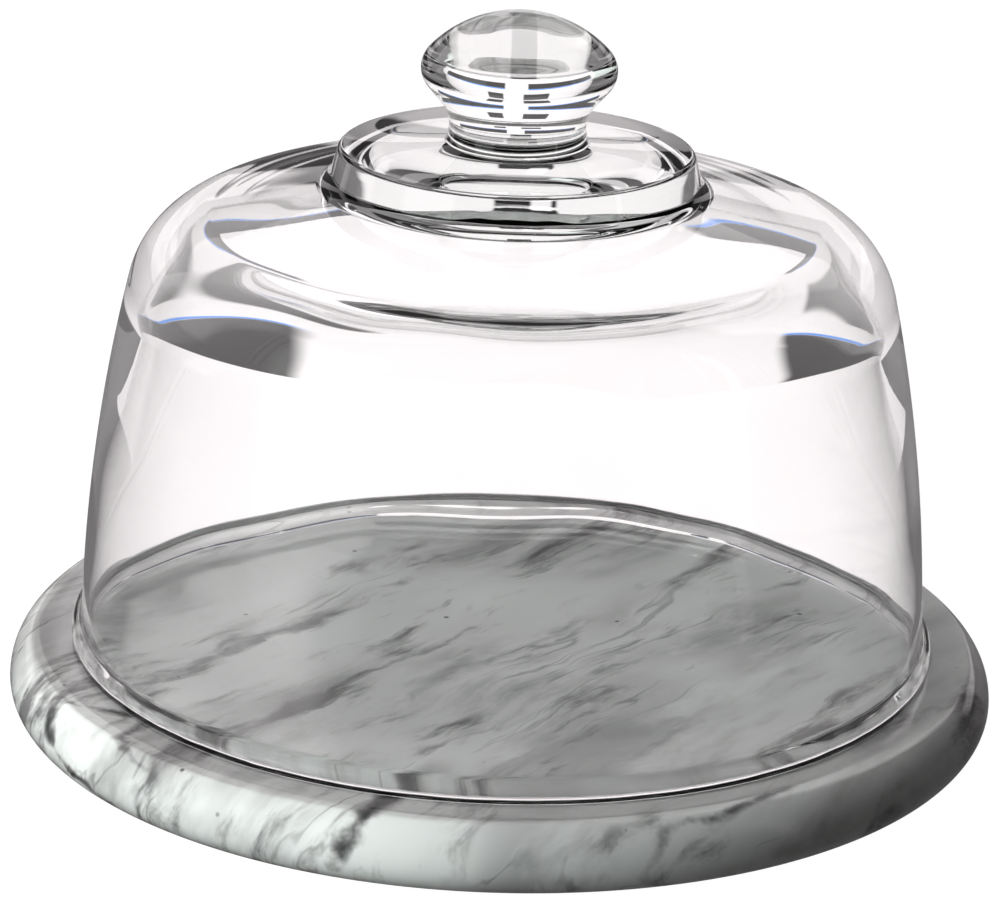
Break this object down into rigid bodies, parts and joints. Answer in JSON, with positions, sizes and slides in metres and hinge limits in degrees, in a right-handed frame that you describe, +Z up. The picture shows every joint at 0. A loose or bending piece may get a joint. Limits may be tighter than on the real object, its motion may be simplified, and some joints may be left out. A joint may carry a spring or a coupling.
{
  "type": "cake stand dome",
  "caption": "Round marble serving board with a clear glass dome that lifts straight off it by a solid glass knob, to cover a small cake or cheese.",
  "frame": {"origin": "on the board's axis, in the plane that the four foot pads stand on", "axes": "+Z up along the common axis of board, dome and knob; X and Y lie level, with the foot pads on the diagonals between them"},
  "size_m": [0.2032, 0.2032, 0.1475],
  "materials": {
    "marble": "polished light grey marble with soft grey veins",
    "clear_glass": "clear polished glass",
    "pad": "cloudy clear soft bumper"
  },
  "bodies": {
    "board": {"marble_board": "marble", "foot_pad_1": "pad", "foot_pad_2": "pad", "foot_pad_3": "pad", "foot_pad_4": "pad"},
    "dome": {"dome_shell": "clear_glass", "dome_knob": "clear_glass"}
  },
  "joints": [
    {"name": "dome_lift", "type": "slide", "parent": "board", "child": "dome", "axis": [0, 0, 1], "range_m": [0, 0.16]}
  ]
}
